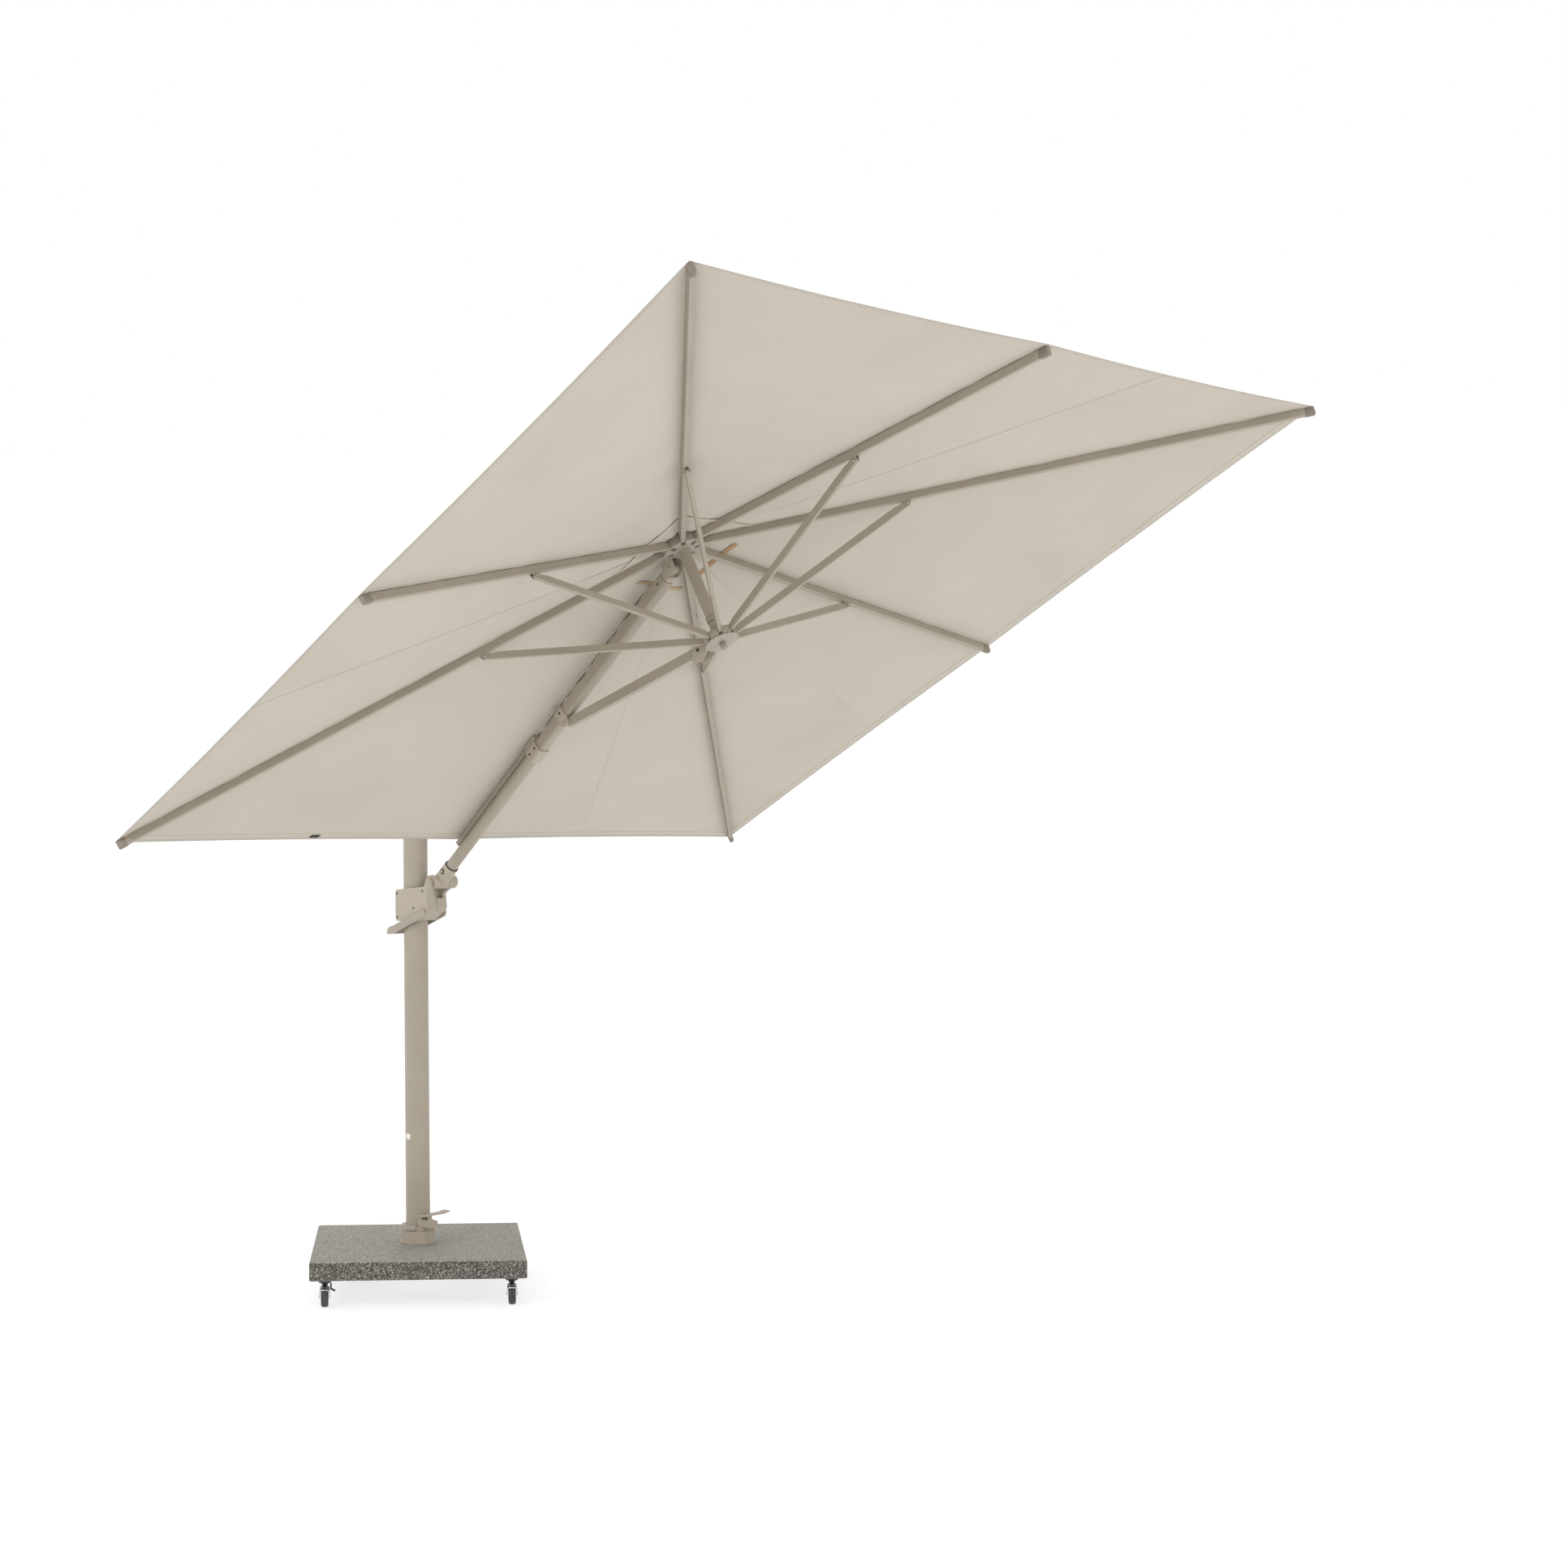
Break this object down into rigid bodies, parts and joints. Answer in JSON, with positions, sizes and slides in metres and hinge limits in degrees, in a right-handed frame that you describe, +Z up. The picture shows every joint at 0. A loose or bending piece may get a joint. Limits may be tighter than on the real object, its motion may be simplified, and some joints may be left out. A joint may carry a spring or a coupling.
{
  "type": "cantilever parasol",
  "caption": "Free-standing cantilever parasol: square ribbed canopy on a tilting and rolling boom, sliding carriage on a swivelling mast, and a stone slab base on castors.",
  "frame": {"origin": "centre of the slab's underside, on the bottom plate", "axes": "+Z up; X and Y along the slab's edges, with the front castors at -Y; the boom points to azimuth -50.5 degrees at rest"},
  "size_m": [3.9956, 3.9472, 3.1403],
  "materials": {
    "coated_tube": "satin",
    "coated_casting": "satin",
    "coated_steel": "satin",
    "moulded_plastic": "satin",
    "granite": "matte",
    "steel": "satin",
    "chrome": "polished",
    "castor_wheel": "satin",
    "glide_plastic": "matte",
    "canopy_cloth": "matte"
  },
  "bodies": {
    "base": {"base_slab": "granite", "base_bottom_plate": "steel", "mast_socket": "coated_steel", "castor_plate_front_left": "steel", "castor_plate_front_right": "steel", "castor_plate_rear_right": "steel", "castor_plate_rear_left": "steel"},
    "mast": {"swivel_collar": "coated_casting", "pedal_housing": "coated_casting", "mast_tube": "coated_tube", "mast_top_cap": "moulded_plastic"},
    "pedal": {"foot_pedal": "coated_steel"},
    "carriage": {"carriage_shell_right": "coated_casting", "carriage_shell_left": "coated_casting", "carriage_glide_upper": "glide_plastic", "carriage_glide_lower": "glide_plastic", "pivot_pin": "coated_steel"},
    "grip": {"carriage_grip": "moulded_plastic"},
    "lever": {"tilt_lever": "moulded_plastic"},
    "knuckle": {"boom_knuckle": "coated_casting"},
    "button": {"roll_button": "moulded_plastic"},
    "boom": {"boom_lower_tube": "coated_tube", "boom_sleeve": "coated_casting", "edge_rib": "coated_tube", "boom_upper_tube": "coated_tube", "strut_bracket": "coated_casting", "boom_head": "coated_casting"},
    "crown": {"crown_hub": "moulded_plastic", "crown_pin_ring": "steel", "crown_post": "coated_tube", "finial_cap": "moulded_plastic", "canopy": "canopy_cloth", "vent_cap": "canopy_cloth"},
    "runner": {"lower_hub": "moulded_plastic", "runner_stub": "coated_tube"},
    "boom_strut": {"boom_strut": "coated_tube"},
    "fork_front_left": {"castor_fork_front_left": "chrome"},
    "wheel_front_left": {"castor_wheel_front_left": "castor_wheel"},
    "fork_front_right": {"castor_fork_front_right": "chrome"},
    "wheel_front_right": {"castor_wheel_front_right": "castor_wheel"},
    "fork_rear_right": {"castor_fork_rear_right": "chrome"},
    "wheel_rear_right": {"castor_wheel_rear_right": "castor_wheel"},
    "fork_rear_left": {"castor_fork_rear_left": "chrome"},
    "wheel_rear_left": {"castor_wheel_rear_left": "castor_wheel"},
    "rib_front": {"rib_front": "coated_tube"},
    "strut_front": {"strut_front": "coated_tube"},
    "rib_front_left": {"rib_front_left": "coated_tube"},
    "strut_front_left": {"strut_front_left": "coated_tube"},
    "rib_left": {"rib_left": "coated_tube"},
    "strut_left": {"strut_left": "coated_tube"},
    "rib_rear_left": {"rib_rear_left": "coated_tube"},
    "strut_rear_left": {"strut_rear_left": "coated_tube"},
    "rib_rear_right": {"rib_rear_right": "coated_tube"},
    "strut_rear_right": {"strut_rear_right": "coated_tube"},
    "rib_right": {"rib_right": "coated_tube"},
    "strut_right": {"strut_right": "coated_tube"},
    "rib_front_right": {"rib_front_right": "coated_tube"},
    "strut_front_right": {"strut_front_right": "coated_tube"}
  },
  "joints": [
    {"name": "castor_swivel_front_left", "type": "hinge", "parent": "base", "child": "fork_front_left", "pos_m": [-0.345, -0.345, 0], "axis": [0, 0, 1], "continuous": true},
    {"name": "wheel_spin_front_left", "type": "hinge", "parent": "fork_front_left", "child": "wheel_front_left", "pos_m": [-0.345, -0.367, -0.0625], "axis": [1, 0, 0], "continuous": true},
    {"name": "castor_swivel_front_right", "type": "hinge", "parent": "base", "child": "fork_front_right", "pos_m": [0.345, -0.345, 0], "axis": [0, 0, 1], "continuous": true},
    {"name": "wheel_spin_front_right", "type": "hinge", "parent": "fork_front_right", "child": "wheel_front_right", "pos_m": [0.345, -0.367, -0.0625], "axis": [1, 0, 0], "continuous": true},
    {"name": "castor_swivel_rear_right", "type": "hinge", "parent": "base", "child": "fork_rear_right", "pos_m": [0.345, 0.345, 0], "axis": [0, 0, 1], "continuous": true},
    {"name": "wheel_spin_rear_right", "type": "hinge", "parent": "fork_rear_right", "child": "wheel_rear_right", "pos_m": [0.345, 0.323, -0.0625], "axis": [1, 0, 0], "continuous": true},
    {"name": "castor_swivel_rear_left", "type": "hinge", "parent": "base", "child": "fork_rear_left", "pos_m": [-0.345, 0.345, 0], "axis": [0, 0, 1], "continuous": true},
    {"name": "wheel_spin_rear_left", "type": "hinge", "parent": "fork_rear_left", "child": "wheel_rear_left", "pos_m": [-0.345, 0.323, -0.0625], "axis": [1, 0, 0], "continuous": true},
    {"name": "mast_swivel", "type": "hinge", "parent": "base", "child": "mast", "pos_m": [0, 0, 0.12], "axis": [0, 0, 1], "continuous": true},
    {"name": "pedal_press", "type": "hinge", "parent": "mast", "child": "pedal", "pos_m": [0.0311, -0.07545, 0.178], "axis": [-0.6361, 0.7716, 0], "range_deg": [0, 8], "stiffness_Nm_per_rad": 40},
    {"name": "carriage_slide", "type": "slide", "parent": "mast", "child": "carriage", "axis": [0, 0, 1], "range_m": [-0.8, 0.7]},
    {"name": "grip_squeeze", "type": "hinge", "parent": "carriage", "child": "grip", "pos_m": [0.0687, -0.08334, 1.339], "axis": [0.7716, 0.6361, 0], "range_deg": [0, 8], "stiffness_Nm_per_rad": 60},
    {"name": "tilt_lever_turn", "type": "hinge", "parent": "carriage", "child": "lever", "pos_m": [0.09223, -0.11189, 1.455], "axis": [-0.7716, -0.6361, 0], "range_deg": [0, 40]},
    {"name": "boom_tilt", "type": "hinge", "parent": "carriage", "child": "knuckle", "pos_m": [0.09223, -0.11189, 1.455], "axis": [-0.7716, -0.6361, 0], "range_deg": [-28, 38]},
    {"name": "roll_button_press", "type": "slide", "parent": "knuckle", "child": "button", "axis": [0.7716, 0.6361, 0], "range_m": [0, 0.003], "stiffness_N_per_m": 800},
    {"name": "boom_roll", "type": "hinge", "parent": "knuckle", "child": "boom", "pos_m": [0.09223, -0.11189, 1.455], "axis": [0.4807, -0.5832, 0.6548], "range_deg": [-25, 25]},
    {"name": "crown_fold", "type": "hinge", "parent": "boom", "child": "crown", "pos_m": [0.88066, -1.06832, 2.52888], "axis": [0.7716, 0.6361, 0], "range_deg": [0, 65.12], "deforming": ["canopy", "vent_cap"]},
    {"name": "runner_slide", "type": "slide", "parent": "crown", "child": "runner", "axis": [0.3016, -0.3658, -0.8805], "range_m": [0, 1.0825]},
    {"name": "boom_strut_turn", "type": "hinge", "parent": "boom", "child": "boom_strut", "pos_m": [0.54919, -0.66622, 2.02712], "axis": [0.7716, 0.6361, 0], "range_deg": [0, 137.13]},
    {"name": "rib_fold_front", "type": "hinge", "parent": "crown", "child": "rib_front", "pos_m": [0.9414, -1.14201, 2.62573], "axis": [0.7716, 0.6361, 0], "range_deg": [0, 73.38]},
    {"name": "strut_turn_front", "type": "hinge", "parent": "rib_front", "child": "strut_front", "pos_m": [1.38226, -1.67682, 2.79555], "axis": [-0.7716, -0.6361, 0], "range_deg": [0, 145.88]},
    {"name": "rib_fold_front_left", "type": "hinge", "parent": "crown", "child": "rib_front_left", "pos_m": [0.9643, -1.10309, 2.61739], "axis": [0.1496, 0.9302, -0.3352], "range_deg": [0, 73.96]},
    {"name": "strut_turn_front_left", "type": "hinge", "parent": "rib_front_left", "child": "strut_front_left", "pos_m": [1.65613, -1.17274, 2.73287], "axis": [-0.1496, -0.9302, 0.3352], "range_deg": [0, 140.12]},
    {"name": "rib_fold_left", "type": "hinge", "parent": "crown", "child": "rib_left", "pos_m": [0.9541, -1.06309, 2.59728], "axis": [-0.5601, 0.6794, -0.4741], "range_deg": [0, 73.38]},
    {"name": "strut_turn_left", "type": "hinge", "parent": "rib_left", "child": "strut_left", "pos_m": [1.5411, -0.68921, 2.43963], "axis": [0.5601, -0.6794, 0.4741], "range_deg": [0, 145.88]},
    {"name": "rib_fold_rear_left", "type": "hinge", "parent": "crown", "child": "rib_rear_left", "pos_m": [0.91678, -1.04544, 2.57717], "axis": [-0.9416, 0.0306, -0.3352], "range_deg": [0, 73.96]},
    {"name": "strut_turn_rear_left", "type": "hinge", "parent": "rib_rear_left", "child": "strut_rear_left", "pos_m": [1.06028, -0.44992, 2.22848], "axis": [0.9416, -0.0306, 0.3352], "range_deg": [0, 140.12]},
    {"name": "rib_fold_rear_right", "type": "hinge", "parent": "crown", "child": "rib_rear_right", "pos_m": [0.8513, -1.09941, 2.57717], "axis": [-0.1496, -0.9302, 0.3352], "range_deg": [0, 73.96]},
    {"name": "strut_turn_rear_right", "type": "hinge", "parent": "rib_rear_right", "child": "strut_rear_right", "pos_m": [0.23935, -1.12665, 2.22848], "axis": [0.1496, 0.9302, -0.3352], "range_deg": [0, 140.12]},
    {"name": "rib_fold_right", "type": "hinge", "parent": "crown", "child": "rib_right", "pos_m": [0.8615, -1.13941, 2.59728], "axis": [0.5601, -0.6794, 0.4741], "range_deg": [0, 73.38]},
    {"name": "strut_turn_right", "type": "hinge", "parent": "rib_right", "child": "strut_right", "pos_m": [0.38249, -1.6443, 2.43963], "axis": [-0.5601, 0.6794, -0.4741], "range_deg": [0, 145.88]},
    {"name": "rib_fold_front_right", "type": "hinge", "parent": "crown", "child": "rib_front_right", "pos_m": [0.89882, -1.15706, 2.61739], "axis": [0.9416, -0.0306, 0.3352], "range_deg": [0, 73.96]},
    {"name": "strut_turn_front_right", "type": "hinge", "parent": "rib_front_right", "child": "strut_front_right", "pos_m": [0.83519, -1.84947, 2.73287], "axis": [-0.9416, 0.0306, -0.3352], "range_deg": [0, 140.12]}
  ],
  "couplings": [
    {"joint": "runner_slide", "follows": "crown_fold", "m_per_rad": 0.95194},
    {"joint": "boom_strut_turn", "follows": "crown_fold", "ratio": 2.105},
    {"joint": "rib_fold_front", "follows": "crown_fold", "ratio": 1.126},
    {"joint": "strut_turn_front", "follows": "crown_fold", "ratio": 2.2392},
    {"joint": "rib_fold_front_left", "follows": "crown_fold", "ratio": 1.135},
    {"joint": "strut_turn_front_left", "follows": "crown_fold", "ratio": 2.1508},
    {"joint": "rib_fold_left", "follows": "crown_fold", "ratio": 1.126},
    {"joint": "strut_turn_left", "follows": "crown_fold", "ratio": 2.2392},
    {"joint": "rib_fold_rear_left", "follows": "crown_fold", "ratio": 1.135},
    {"joint": "strut_turn_rear_left", "follows": "crown_fold", "ratio": 2.1508},
    {"joint": "rib_fold_rear_right", "follows": "crown_fold", "ratio": 1.135},
    {"joint": "strut_turn_rear_right", "follows": "crown_fold", "ratio": 2.1508},
    {"joint": "rib_fold_right", "follows": "crown_fold", "ratio": 1.126},
    {"joint": "strut_turn_right", "follows": "crown_fold", "ratio": 2.2392},
    {"joint": "rib_fold_front_right", "follows": "crown_fold", "ratio": 1.135},
    {"joint": "strut_turn_front_right", "follows": "crown_fold", "ratio": 2.1508}
  ]
}
